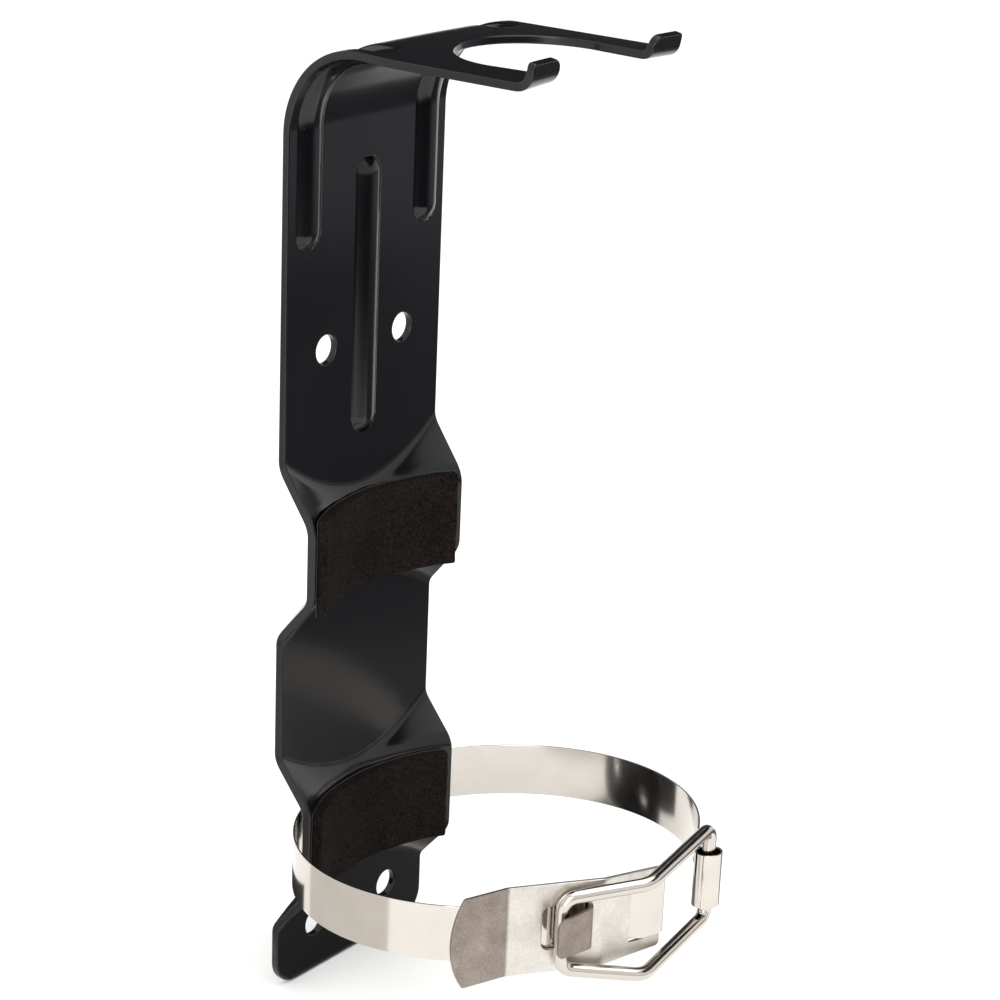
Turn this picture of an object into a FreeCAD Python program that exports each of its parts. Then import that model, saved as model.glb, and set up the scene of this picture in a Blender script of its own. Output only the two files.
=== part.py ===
import FreeCAD, Part
import math
import os

# Wall bracket with a strap clamp for a breathing-air cylinder of 127 mm diameter.
# Origin: middle of the four screw holes, on the wall side of the back plate.
# +Z up, -Y out from the wall towards the cylinder, X along the plate's width.

doc = FreeCAD.newDocument("cylinder_bracket")
sheet = doc.addObject("Spreadsheet::Sheet", "size")

driving_sizes = [
    ("plate_width", 76.2), ("plate_thick", 2.66), ("plate_bottom", -119.5), ("corner_round", 9.5),
    ("hole_width", 9.5), ("hole_spread", 37.5), ("hole_rise", 203.2),
    ("plate_top", 203.2), ("bend_round", 30), ("fork_reach", 91.4), ("fork_gap", 48),
    ("fork_ring", 25.5), ("fork_ring_reach", 67), ("tip_rise", 5.3), ("tip_bend", 2),
    ("rib_round", 7.5), ("rib_height", 2.6), ("rib_spread", 57),
    ("rib_low", 75.7), ("rib_high", 155.5), ("side_rib_low", 141.2), ("side_rib_reach", 32),
    ("bottle_reach", 71.4), ("bottle_round", 63.5), ("saddle_round", 67.07), ("ramp_grow", 13),
    ("ramp_slope", 34.5), ("high_saddle_top", 49), ("high_saddle_low", 23.5),
    ("low_saddle_top", -49.5), ("low_saddle_low", -82),
    ("pad_width", 70), ("pad_height", 32), ("glue_thick", 0.2),
    ("high_pad_middle", 34.7), ("low_pad_middle", -67.65),
    ("band_thick", 0.6), ("band_width", 18.7), ("ring_round", 66.05), ("ring_reach", 63.55),
    ("ring_middle", -59.07), ("ring_fall", 0.09), ("wall_gap", 0.3),
    ("left_turn", 17.3), ("left_run", 13.5), ("loop_round", 1.85), ("loop_ply", 6.0),
    ("loop_dive", 4.6), ("loop_tail", 5),
    ("right_turn", 30.5), ("right_run", 20.7), ("knuckle_round", 4.1),
    ("lever_turn", 36), ("lever_thick", 1.3), ("lever_height", 30), ("lever_lift", 0.6),
    ("lever_left", 16.5), ("lever_right", 14), ("grip_length", 20), ("grip_turn", 16),
    ("grip_round", 27), ("rail_turn", 19.5), ("rail_length", 22.03),
    ("window_start", 10.8), ("window_height", 20.4), ("crossbar_width", 2.6),
    ("slot_left", 5.4), ("slot_right", 9.4), ("slot_height", 14.8),
    ("tab_thick", 1.2), ("tab_height", 13.6), ("tab_root", 1.9), ("tab_tip", 8.4), ("tab_over", 2.9),
    ("wire_width", 4.4), ("wire_lift", 2.85),
]
for row, (alias, value) in enumerate(driving_sizes, start=1):
    sheet.set("A%d" % row, alias)
    sheet.set("B%d" % row, str(value))
    sheet.setAlias("B%d" % row, alias)
doc.recompute()

upright = FreeCAD.Rotation()
along_x = FreeCAD.Rotation(FreeCAD.Vector(1, 1, 1), 120)
along_y = FreeCAD.Rotation(FreeCAD.Vector(1, 0, 0), 90)
origin = ("0", "0", "0")


def about_z(angle):
    return FreeCAD.Rotation(FreeCAD.Vector(0, 0, 1), angle)


def value(alias):
    return float(sheet.get(alias))


def primitive(kind, name, sizes, at=origin, turn=upright):
    item = doc.addObject("Part::" + kind, name)
    item.Placement = FreeCAD.Placement(FreeCAD.Vector(), turn)
    for prop, formula in sizes.items():
        item.setExpression(prop, formula)
    for axis, formula in zip("xyz", at):
        item.setExpression("Placement.Base." + axis, formula)
    return item


def box(name, length, width, height, at, turn=upright):
    return primitive("Box", name, {"Length": length, "Width": width, "Height": height}, at, turn)


def cylinder(name, radius, height, at, turn=upright, angle="360"):
    return primitive("Cylinder", name, {"Radius": radius, "Height": height, "Angle": angle}, at, turn)


def fuse(name, pieces):
    item = doc.addObject("Part::MultiFuse", name)
    item.Shapes = pieces
    item.Refine = True
    return item


def common(name, pieces):
    item = doc.addObject("Part::MultiCommon", name)
    item.Shapes = pieces
    return item


def cut(name, base, tool):
    item = doc.addObject("Part::Cut", name)
    item.Base = base
    item.Tool = tool
    return item


# --- back plate: one pressed sheet --------------------------------------------------------

half = "size.plate_width / 2"
thick = "size.plate_thick"
bend_z = "(size.plate_top - size.bend_round)"
saddles = [("high", "size.high_saddle_low", "size.high_saddle_top"),
           ("low", "size.low_saddle_low", "size.low_saddle_top")]


def saddle_form(name, extra, shift):
    """Turned form about the bottle's axis: waisted at both saddles, wide at the flats."""
    waist = "(size.saddle_round + %s)" % extra
    wide = "(%s + size.ramp_grow)" % waist
    rise = "(size.ramp_grow / tan(size.ramp_slope))"
    low = "(size.plate_bottom - 5)"
    axis = ("0", "-size.bottle_reach")
    pieces = []
    for key, start, end in reversed(saddles):
        start = "(%s + %s)" % (start, shift)
        end = "(%s - %s)" % (end, shift)
        pieces.append(cylinder("%s_%s_flat" % (name, key), wide,
                               "%s - %s - %s" % (start, rise, low), axis + (low,)))
        pieces.append(primitive("Cone", "%s_%s_lower_ramp" % (name, key),
                                {"Radius1": wide, "Radius2": waist, "Height": rise},
                                axis + ("%s - %s" % (start, rise),)))
        pieces.append(cylinder("%s_%s_seat" % (name, key), waist,
                               "%s - %s" % (end, start), axis + (start,)))
        pieces.append(primitive("Cone", "%s_%s_upper_ramp" % (name, key),
                                {"Radius1": waist, "Radius2": wide, "Height": rise},
                                axis + (end,)))
        low = "(%s + %s)" % (end, rise)
    pieces.append(cylinder(name + "_top_flat", wide, "%s - %s" % (bend_z, low), axis + (low,)))
    return fuse(name, pieces)


def plate_sheet():
    """Straight part of the plate, pressed forward into two saddles."""
    deep = "30"
    round_z = "(size.plate_bottom + size.corner_round)"
    blank = [box("blank_main", "size.plate_width", deep, "%s - %s" % (bend_z, round_z),
                 ("-" + half, "-" + deep, round_z)),
             box("blank_foot", "size.plate_width - 2 * size.corner_round", deep,
                 "size.corner_round",
                 ("-%s + size.corner_round" % half, "-" + deep, "size.plate_bottom"))]
    for side, sign in (("left", "-"), ("right", "")):
        blank.append(cylinder("blank_corner_" + side, "size.corner_round", deep,
                              ("%s(%s - size.corner_round)" % (sign, half), "0", round_z),
                              along_y))
    back = saddle_form("back_form", thick, thick + " * tan(size.ramp_slope / 2)")
    front = saddle_form("front_form", "0", "0")
    front_room = box("front_room", "size.plate_width + 10", "100", "500",
                     ("-%s - 5" % half, "-100 - " + thick, "-250"))
    body = common("sheet_blank", [fuse("blank", blank), back])
    return cut("sheet_flat", body, common("front_void", [front, front_room]))


def bend_wedge(name, inset, length, start_x):
    return cylinder(name, "size.bend_round - (%s)" % inset, length,
                    (start_x, "-size.bend_round", bend_z), along_x, "90")


def fork():
    """Top bend and the flat fork, with the ends of both arms turned up."""
    bend = cut("bend", bend_wedge("bend_outside", "0", "size.plate_width", "-" + half),
               bend_wedge("bend_inside", thick, "size.plate_width", "-" + half))
    outer = "(size.tip_bend + size.plate_thick)"
    tip_y = "-(size.fork_reach - %s)" % outer
    arm = "(%s - size.fork_gap / 2)" % half
    flange = box("flange", "size.plate_width",
                 "size.fork_reach - size.bend_round - " + outer, thick,
                 ("-" + half, tip_y, "size.plate_top - " + thick))
    ring = cylinder("neck_ring", "size.fork_ring", "20",
                    ("0", "-size.fork_ring_reach", "size.plate_top - 10"))
    mouth = box("neck_mouth", "size.fork_gap", "60", "20",
                ("-size.fork_gap / 2", "-size.fork_ring_reach - 60", "size.plate_top - 10"))
    pieces = [bend, cut("fork_arms", flange, fuse("neck_room", [ring, mouth]))]
    hook_turn = FreeCAD.Rotation(FreeCAD.Matrix(0, 0, -1, 0, 0, -1, 0, 0, -1, 0, 0, 0, 0, 0, 0, 1))
    for side, start in (("left", "-size.fork_gap / 2"), ("right", half)):
        at = (start, tip_y, "size.plate_top + size.tip_bend")
        skin = cylinder("tip_outside_" + side, outer, arm, at, hook_turn, "90")
        core = cylinder("tip_inside_" + side, "size.tip_bend", arm, at, hook_turn, "90")
        pieces.append(cut("tip_bend_" + side, skin, core))
        pieces.append(box("tip_" + side, arm, thick, "size.tip_rise - size.tip_bend",
                          ("%s - %s" % (start, arm), "-size.fork_reach",
                           "size.plate_top + size.tip_bend")))
    return pieces


def rib_solids(name, radius):
    """Solids along the three ribs: straight runs with round ends, two of them over the bend."""
    depth = "(size.rib_round - size.rib_height - size.plate_thick)"
    sweep = "(size.bend_round + %s)" % depth
    top_z = "(size.plate_top + %s)" % depth
    pieces = [cylinder(name + "_middle", radius, "size.rib_high - size.rib_low",
                       ("0", depth, "size.rib_low"))]
    ends = [("middle_low", ("0", depth, "size.rib_low")),
            ("middle_high", ("0", depth, "size.rib_high"))]
    for side, at_x in (("left", "-size.rib_spread / 2"), ("right", "size.rib_spread / 2")):
        pieces.append(cylinder("%s_%s" % (name, side), radius, bend_z + " - size.side_rib_low",
                               (at_x, depth, "size.side_rib_low")))
        pieces.append(primitive("Torus", "%s_%s_bend" % (name, side),
                                {"Radius1": sweep, "Radius2": radius, "Angle3": "90"},
                                (at_x, "-size.bend_round", bend_z), along_x))
        pieces.append(cylinder("%s_%s_run" % (name, side), radius,
                               "size.side_rib_reach - size.bend_round",
                               (at_x, "-size.bend_round", top_z), along_y))
        ends.append((side + "_low", (at_x, depth, "size.side_rib_low")))
        ends.append((side + "_reach", (at_x, "-size.side_rib_reach", top_z)))
    for key, at in ends:
        pieces.append(primitive("Sphere", "%s_end_%s" % (name, key), {"Radius": radius}, at))
    return pieces


def back_plate():
    sheet_with_fork = fuse("sheet_with_fork", [plate_sheet()] + fork())
    room = fuse("sheet_envelope", [
        box("room_straight", "size.plate_width", "40", "size.plate_top - size.bend_round - 60",
            ("-" + half, "-40", "60")),
        bend_wedge("room_bend", "0", "size.plate_width", "-" + half),
        box("room_flange", "size.plate_width", "30", "size.bend_round",
            ("-" + half, "-30 - size.bend_round", bend_z))])
    raised = common("ribs_raised", [fuse("rib_outsides", rib_solids("rib_outside", "size.rib_round")),
                                    room])
    hollow = fuse("rib_hollows", rib_solids("rib_hollow", "size.rib_round - size.plate_thick"))
    holes = []
    for across in ("-", ""):
        for up in ("-", ""):
            name = "hole_%s_%s" % ("left" if across else "right", "low" if up else "high")
            holes.append(cylinder(name, "size.hole_width / 2", "40",
                                  (across + "size.hole_spread / 2", "10",
                                   up + "size.hole_rise / 2"), along_y))
    body = fuse("plate_with_ribs", [sheet_with_fork, raised])
    return cut("back_plate", body, fuse("plate_cuts", [hollow] + holes))


# --- foam pads and their adhesive films ---------------------------------------------------

def saddle_skin(name, inner, outer, middle):
    low = middle + " - size.pad_height / 2"
    at = ("0", "-size.bottle_reach", low)
    shell = cut(name + "_shell", cylinder(name + "_outside", outer, "size.pad_height", at),
                cylinder(name + "_inside", inner, "size.pad_height", at))
    trim = box(name + "_trim", "size.pad_width", "size.bottle_reach", "size.pad_height",
               ("-size.pad_width / 2", "-size.bottle_reach", low))
    return common(name, [shell, trim])


def pad_and_glue(key):
    middle = "size.%s_pad_middle" % key
    label = {"high": "upper", "low": "lower"}[key]
    glue_face = "size.saddle_round - size.glue_thick"
    return [saddle_skin(label + "_pad", "size.bottle_round", glue_face, middle),
            saddle_skin(label + "_pad_adhesive", glue_face, "size.saddle_round", middle)]


# --- strap band: one strip, looped at its left end and rolled at its right ----------------

strip_low = "-90"
strip_tall = "90"
ring_in = "(size.ring_round - size.band_thick / 2)"
ring_out = "(size.ring_round + size.band_thick / 2)"


def about_ring(turn, along, out):
    """Place on the ring's plan: along the tangent at a turn from the front, and out from axis."""
    return ("%s * cos(%s) + %s * sin(%s)" % (along, turn, out, turn),
            "-size.ring_reach + %s * sin(%s) - %s * cos(%s)" % (along, turn, out, turn))


def strip(name, turn, angle, along, out, length, lean="0", lean_angle=0):
    """Straight run of band with its middle line from a point, leaning off the tangent."""
    full = "(%s + %s)" % (turn, lean)
    corner_x, corner_y = about_ring(turn, along, out)
    at = ("%s + size.band_thick / 2 * sin(%s)" % (corner_x, full),
          "%s - size.band_thick / 2 * cos(%s)" % (corner_y, full), strip_low)
    return box(name, length, "size.band_thick", strip_tall, at, about_z(angle + lean_angle))


def round_post(name, radius, place):
    return cylinder(name, radius, strip_tall, place + (strip_low,))


def strap_band():
    back_half = "acos((size.ring_reach - size.wall_gap - size.band_thick / 2) / size.ring_round)"
    back_angle = math.degrees(math.acos((value("ring_reach") - value("wall_gap")
                                         - value("band_thick") / 2) / value("ring_round")))
    axis = ("0", "-size.ring_reach", strip_low)
    left, right = value("left_turn"), value("right_turn")
    arcs = []
    for side, start, span in (
            ("left", 90 + back_angle, "180 deg - size.left_turn * 1 deg - " + back_half),
            ("right", right - 90, "180 deg - size.right_turn * 1 deg - " + back_half)):
        outside = cylinder("ring_outside_" + side, ring_out, strip_tall, axis, about_z(start), span)
        inside = cylinder("ring_inside_" + side, ring_in, strip_tall, axis, about_z(start), span)
        arcs.append(cut("ring_" + side, outside, inside))
    chord = "(%s * sin(%s))" % (ring_out, back_half)
    flat = box("ring_back", "2 * " + chord, "size.band_thick", strip_tall,
               ("-" + chord, "-size.wall_gap - size.band_thick", strip_low))

    # left end: out over the lever's crossbar and back through its window
    turn = "(-size.left_turn)"
    ply = "(size.ring_round + 2 * size.loop_round)"
    tail = "(size.ring_round + size.band_thick + 0.05)"
    ply_start = "(size.left_run - size.loop_ply)"
    tail_end = "(%s - size.loop_dive)" % ply_start
    drop = "(%s - %s)" % (ply, tail)
    dive_angle = "(atan(%s / size.loop_dive) / 1 deg)" % drop
    dive_value = math.degrees(math.atan((2 * value("loop_round") - value("band_thick") - 0.05)
                                        / value("loop_dive")))
    half_turn = cylinder("loop_outside", "size.loop_round + size.band_thick / 2", strip_tall,
                         about_ring(turn, "size.left_run", "(size.ring_round + size.loop_round)")
                         + (strip_low,), about_z(-90 - left), "180")
    half_core = cylinder("loop_inside", "size.loop_round - size.band_thick / 2", strip_tall,
                         about_ring(turn, "size.left_run", "(size.ring_round + size.loop_round)")
                         + (strip_low,), about_z(-90 - left), "180")
    edge = "size.band_thick / 2"
    loop = [strip("loop_inner_ply", turn, -left, "0", "size.ring_round", "size.left_run"),
            cut("loop_turn", half_turn, half_core),
            strip("loop_outer_ply", turn, -left, ply_start, ply, "size.loop_ply"),
            round_post("loop_dive_top", edge, about_ring(turn, ply_start, ply)),
            strip("loop_dive", turn, -left, tail_end, tail,
                  "size.loop_dive / cos(%s)" % dive_angle, "-" + dive_angle, -dive_value),
            round_post("loop_dive_foot", edge, about_ring(turn, tail_end, tail)),
            strip("loop_tail", turn, -left, "(%s - size.loop_tail)" % tail_end, tail,
                  "size.loop_tail")]

    # right end: rolled outwards into a knuckle for the bail
    centre = about_ring("size.right_turn", "(-size.right_run)",
                        "(size.ring_round + size.knuckle_round)") + (strip_low,)
    rolled = cut("knuckle",
                 cylinder("knuckle_outside", "size.knuckle_round + size.band_thick / 2",
                          strip_tall, centre, about_z(90 + right), "340"),
                 cylinder("knuckle_inside", "size.knuckle_round - size.band_thick / 2",
                          strip_tall, centre, about_z(90 + right), "340"))
    end = strip("knuckle_run", "size.right_turn", right, "(-size.right_run)", "size.ring_round",
                "size.right_run")

    plan = fuse("strap_plan", arcs + [flat, end, rolled] + loop)

    # both edges of the band climb towards the front, so the strip is cut by a sloping slab
    slope = math.degrees(math.atan(value("ring_fall")))
    fall = "atan(size.ring_fall)"
    tall = "(size.band_width * cos(%s))" % fall
    slab = box("strap_height", "200", "300", tall,
               ("-100", "-size.ring_reach - 150 * cos(%s) - %s / 2 * sin(%s)" % (fall, tall, fall),
                "size.ring_middle + 150 * sin(%s) - %s / 2 * cos(%s)" % (fall, tall, fall)),
               FreeCAD.Rotation(FreeCAD.Vector(1, 0, 0), -slope))
    return common("strap_band", [plan, slab])


# --- latch lever: one stamping with a punched hook ----------------------------------------

lever_y = about_ring("(-size.left_turn)", "size.left_run",
                     "(size.ring_round + size.loop_round)")[1]
lever_z = "(size.ring_middle - size.ring_fall * (%s + size.ring_reach))" % lever_y
lever_face = "(%s + size.lever_lift + size.lever_thick - 0.3)" % ring_out


def lever_box(name, along, out, length, deep, tall, lean=0):
    """Block on the lever's plan, its outer left corner at a point on the main face."""
    x, y = about_ring("(-size.lever_turn)", along, out)
    return box(name, length, deep, tall, (x, y, "%s - (%s) / 2" % (lever_z, tall)),
               about_z(lean - value("lever_turn")))


def latch_lever():
    main = lever_box("lever_main", "(-size.lever_left)", lever_face,
                     "size.lever_left + size.lever_right", "size.lever_thick",
                     "size.lever_height")
    slot = lever_box("lever_slot", "(-size.slot_left)", "(%s + 5)" % lever_face,
                     "size.slot_left + size.slot_right", "10", "size.slot_height")
    grip_x = "(-size.lever_left - size.grip_length * cos(size.grip_turn))"
    grip_out = "(%s + size.grip_length * sin(size.grip_turn))" % lever_face
    grip = lever_box("lever_grip", grip_x, grip_out, "size.grip_length + 0.2",
                     "size.lever_thick", "size.lever_height", value("grip_turn"))
    heel = "(size.grip_length - size.grip_round)"
    end_x, end_y = about_ring("(-size.lever_turn)",
                              "(-size.lever_left - %s * cos(size.grip_turn))" % heel,
                              "(%s + %s * sin(size.grip_turn) + 10)" % (lever_face, heel))
    grip_turn = about_z(value("grip_turn") - value("lever_turn")).multiply(
        FreeCAD.Rotation(FreeCAD.Vector(1, 0, 0), -90))
    grip_end = cylinder("lever_grip_end", "size.grip_round", "20", (end_x, end_y, lever_z),
                        grip_turn)
    grip = common("lever_grip_rounded", [grip, grip_end])

    window_end = "(size.rail_length - size.crossbar_width / 2)"
    rails = lever_box("lever_rails", "size.lever_right", lever_face,
                      "size.rail_length + size.crossbar_width / 2", "size.lever_thick",
                      "size.lever_height", value("rail_turn"))
    window_at = ("(size.lever_right + size.window_start * cos(size.rail_turn)"
                 " + 5 * sin(size.rail_turn))")
    window_out = ("(%s - size.window_start * sin(size.rail_turn)"
                  " + 5 * cos(size.rail_turn))" % lever_face)
    window = lever_box("lever_window", window_at, window_out,
                       window_end + " - size.window_start", "10", "size.window_height",
                       value("rail_turn"))
    crease = about_ring("(-size.lever_turn)", "size.lever_right",
                        "(%s - size.lever_thick)" % lever_face)
    joint = cylinder("lever_crease", "0.3", "size.lever_height",
                     crease + (lever_z + " - size.lever_height / 2",))

    tab_run = "(size.slot_right + size.tab_over)"
    tab_angle = "atan((size.tab_tip - size.tab_root) / %s)" % tab_run
    tab_value = math.degrees(math.atan((value("tab_tip") - value("tab_root"))
                                       / (value("slot_right") + value("tab_over"))))
    tab_tip = "(%s + size.tab_tip + size.tab_thick / 2)" % lever_face
    tab = lever_box("hook_tab", "(-size.tab_over)", tab_tip, "%s / cos(%s)" % (tab_run, tab_angle),
                    "size.tab_thick", "size.tab_height", tab_value)
    riser = lever_box("hook_root", "(size.slot_right - 0.6)", "(%s + size.tab_root + 0.4)" % lever_face,
                      "size.tab_thick", "size.tab_root + 1.2", "size.tab_height")
    plate = cut("lever_slotted", fuse("lever_plate", [main, grip, rails, joint]),
                fuse("lever_openings", [slot, window]))
    return fuse("latch_lever", [plate, tab, riser])


# --- bail: a closed loop of round wire ----------------------------------------------------

def plan_point(turn, along, out):
    turn = math.radians(turn)
    return (along * math.cos(turn) + out * math.sin(turn),
            -value("ring_reach") + along * math.sin(turn) - out * math.cos(turn))


def rounded_loop(corners, wire_round):
    """Round wire laid through closed corners (point, round), turning each by a tangent arc."""
    turns = []
    count = len(corners)
    for index, (point, bend) in enumerate(corners):
        before = (corners[index - 1][0] - point).normalize()
        after = (corners[(index + 1) % count][0] - point).normalize()
        opening = before.getAngle(after)
        reach = bend / math.tan(opening / 2)
        centre = point + (before + after).normalize() * (bend / math.sin(opening / 2))
        turns.append((point + before * reach, point + after * reach, centre,
                      before.cross(after).normalize(), before, 180 - math.degrees(opening)))
    pieces = []
    for index, (start, end, centre, normal, back, turn) in enumerate(turns):
        last = turns[index - 1][1]
        section = Part.Face(Part.Wire(Part.makeCircle(wire_round, last, start - last)))
        pieces.append(section.extrude(start - last))
        section = Part.Face(Part.Wire(Part.makeCircle(wire_round, start, back)))
        pieces.append(section.revolve(centre, normal * -1, turn))
    return pieces[0].multiFuse(pieces[1:]).removeSplitter()


def bail_wire():
    face = (value("ring_round") + value("band_thick") / 2 + value("lever_lift")
            + value("lever_thick") - 0.3)
    hook = plan_point(-value("lever_turn"), 0, face + value("wire_lift"))
    knuckle = plan_point(value("right_turn"), -value("right_run"),
                         value("ring_round") + value("knuckle_round"))
    shoulder = (-20.6, -137.8)
    # plan place, middle height, half height and corner round of each of the three stations
    stations = [(hook, -53.6, 11.9, 4.5), (shoulder, -54.5, 15.7, 8), (knuckle, -50.6, 15.7, 3.5)]
    tops = [(FreeCAD.Vector(x, y, z + rise), turn) for (x, y), z, rise, turn in stations]
    lows = [(FreeCAD.Vector(x, y, z - rise), turn) for (x, y), z, rise, turn in stations]
    item = doc.addObject("Part::Feature", "bail_wire")
    item.Shape = rounded_loop(tops + lows[::-1], value("wire_width") / 2)
    item.Placement = FreeCAD.Placement()
    return item


nodes = [back_plate()] + pad_and_glue("high") + pad_and_glue("low")
nodes += [strap_band(), latch_lever(), bail_wire()]
for node in nodes:
    node.Label = node.Name
doc.recompute()

for item in doc.Objects:
    if "Invalid" in item.State or "Error" in item.State:
        raise RuntimeError("%s did not compute: %s" % (item.Name, item.getStatusString()))
for node in nodes:
    shape = node.Shape
    if shape.isNull() or not shape.isValid() or len(shape.Solids) != 1:
        raise RuntimeError("%s: %d solids, valid %s" % (node.Name, len(shape.Solids),
                                                        shape.isValid()))
    box_now = shape.optimalBoundingBox()
    print("%-22s %8.1f mm3  x %.1f..%.1f  y %.1f..%.1f  z %.1f..%.1f" % (
        node.Label, shape.Volume, box_now.XMin, box_now.XMax, box_now.YMin, box_now.YMax,
        box_now.ZMin, box_now.ZMax))

os.makedirs("parts", exist_ok=True)
for node in nodes:
    node.Shape.exportStep("parts/%s.step" % node.Label)
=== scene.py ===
import math

import bpy
import numpy as np
from mathutils import Matrix, Vector
from mathutils.geometry import delaunay_2d_cdt


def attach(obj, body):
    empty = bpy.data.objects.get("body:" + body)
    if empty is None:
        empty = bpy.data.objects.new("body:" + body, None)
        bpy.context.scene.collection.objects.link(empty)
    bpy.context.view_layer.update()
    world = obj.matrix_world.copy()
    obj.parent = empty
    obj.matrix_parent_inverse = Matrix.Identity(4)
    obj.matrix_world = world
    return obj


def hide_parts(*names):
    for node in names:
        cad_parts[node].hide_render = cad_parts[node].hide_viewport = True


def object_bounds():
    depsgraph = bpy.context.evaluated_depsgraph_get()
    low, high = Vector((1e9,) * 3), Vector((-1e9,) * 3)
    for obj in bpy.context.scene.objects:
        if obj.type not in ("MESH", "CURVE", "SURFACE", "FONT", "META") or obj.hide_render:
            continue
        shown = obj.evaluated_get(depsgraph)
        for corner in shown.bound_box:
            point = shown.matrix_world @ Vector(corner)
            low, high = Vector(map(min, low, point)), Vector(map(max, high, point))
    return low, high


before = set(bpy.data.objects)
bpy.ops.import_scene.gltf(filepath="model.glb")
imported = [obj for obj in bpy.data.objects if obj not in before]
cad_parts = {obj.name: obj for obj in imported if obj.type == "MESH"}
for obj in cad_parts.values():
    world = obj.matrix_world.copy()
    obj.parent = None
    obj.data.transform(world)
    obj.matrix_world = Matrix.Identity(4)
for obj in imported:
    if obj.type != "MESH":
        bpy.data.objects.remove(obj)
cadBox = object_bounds()
print("frame loaded")

# Wall bracket for an air cylinder. Sizes are in millimetres, scene units in metres.
# z = 0 is the middle of the screw holes, y = 0 the wall, -y out to the cylinder.


def unit(v):
    return v / np.maximum(np.linalg.norm(v, axis=-1, keepdims=True), 1e-12)


def softMax(a, b, k):
    gap = np.maximum(k - np.abs(a - b), 0.0)
    return np.maximum(a, b) + gap * gap / (4.0 * k)


def softMin(a, b, k):
    return -softMax(-a, -b, k)


def roundedLoop(corners, step):
    # closed corners (x, y, round) into an evenly stepped outline
    outline = []
    for index, (x, y, turn) in enumerate(corners):
        tip = np.array((x, y), dtype=float)
        if turn <= 0:
            outline.append(tip)
            continue
        before = unit(np.array(corners[index - 1][:2]) - tip)
        after = unit(np.array(corners[(index + 1) % len(corners)][:2]) - tip)
        opening = math.acos(float(np.clip(before @ after, -1, 1)))
        centre = tip + unit(before + after) * turn / math.sin(opening / 2)
        start = tip + before * turn / math.tan(opening / 2) - centre
        end = tip + after * turn / math.tan(opening / 2) - centre
        first = math.atan2(start[1], start[0])
        sweep = (math.atan2(end[1], end[0]) - first + math.pi) % (2 * math.pi) - math.pi
        count = max(4, int(abs(sweep) * turn / step) + 2)
        for angle in np.linspace(first, first + sweep, count):
            outline.append(centre + turn * np.array((math.cos(angle), math.sin(angle))))
    filled = []
    for here, there in zip(outline, outline[1:] + outline[:1]):
        count = max(1, int(round(np.linalg.norm(there - here) / step)))
        for part in range(count):
            filled.append(here + (there - here) * part / count)
    return np.array(filled)


def roundHole(x, y, turn, count=40):
    angles = -np.linspace(0, 2 * math.pi, count, endpoint=False)
    return np.stack([x + turn * np.cos(angles), y + turn * np.sin(angles)], axis=1)


def insideLoops(spots, loops):
    inside = np.zeros(len(spots), dtype=bool)
    for loop in loops:
        ends = np.roll(loop, -1, axis=0)
        for (ax, ay), (bx, by) in zip(loop, ends):
            if ay == by:
                continue
            crosses = (spots[:, 1] < ay) != (spots[:, 1] < by)
            edge = ax + (spots[:, 1] - ay) * (bx - ax) / (by - ay)
            inside ^= crosses & (spots[:, 0] < edge)
    return inside


def nearestEdge(spots, loops, reach=6.0):
    rim = np.concatenate(loops)
    nearest = np.full(len(spots), reach)
    for start in range(0, len(spots), 2000):
        chunk = spots[start:start + 2000]
        gaps = np.linalg.norm(chunk[:, None, :] - rim[None, :, :], axis=2).min(axis=1)
        nearest[start:start + 2000] = np.minimum(gaps, reach)
    return nearest


def bentLine(corners, step=0.1, settle=0.0):
    # plan line through corners (a, b, round): running length, place and heading
    line = []
    for index, (a, b, turn) in enumerate(corners):
        tip = np.array((a, b), dtype=float)
        if turn <= 0 or index in (0, len(corners) - 1):
            line.append(tip)
            continue
        before = unit(np.array(corners[index - 1][:2]) - tip)
        after = unit(np.array(corners[index + 1][:2]) - tip)
        opening = math.acos(float(np.clip(before @ after, -1, 1)))
        centre = tip + unit(before + after) * turn / math.sin(opening / 2)
        start = tip + before * turn / math.tan(opening / 2) - centre
        end = tip + after * turn / math.tan(opening / 2) - centre
        first = math.atan2(start[1], start[0])
        sweep = (math.atan2(end[1], end[0]) - first + math.pi) % (2 * math.pi) - math.pi
        for angle in np.linspace(first, first + sweep, 14):
            line.append(centre + turn * np.array((math.cos(angle), math.sin(angle))))
    return steppedLine(np.array(line), step)


def steppedLine(line, step):
    lengths = np.concatenate([[0], np.cumsum(np.linalg.norm(np.diff(line, axis=0), axis=1))])
    marks = np.linspace(0, lengths[-1], int(lengths[-1] / step) + 1)
    even = np.stack([np.interp(marks, lengths, line[:, k]) for k in (0, 1)], axis=1)
    return marks, even


def placeAndNormal(place, spots, reach=0.15):
    acrossU = place(spots + (reach, 0)) - place(spots - (reach, 0))
    acrossV = place(spots + (0, reach)) - place(spots - (0, reach))
    return place(spots), unit(np.cross(acrossU, acrossV))


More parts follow.
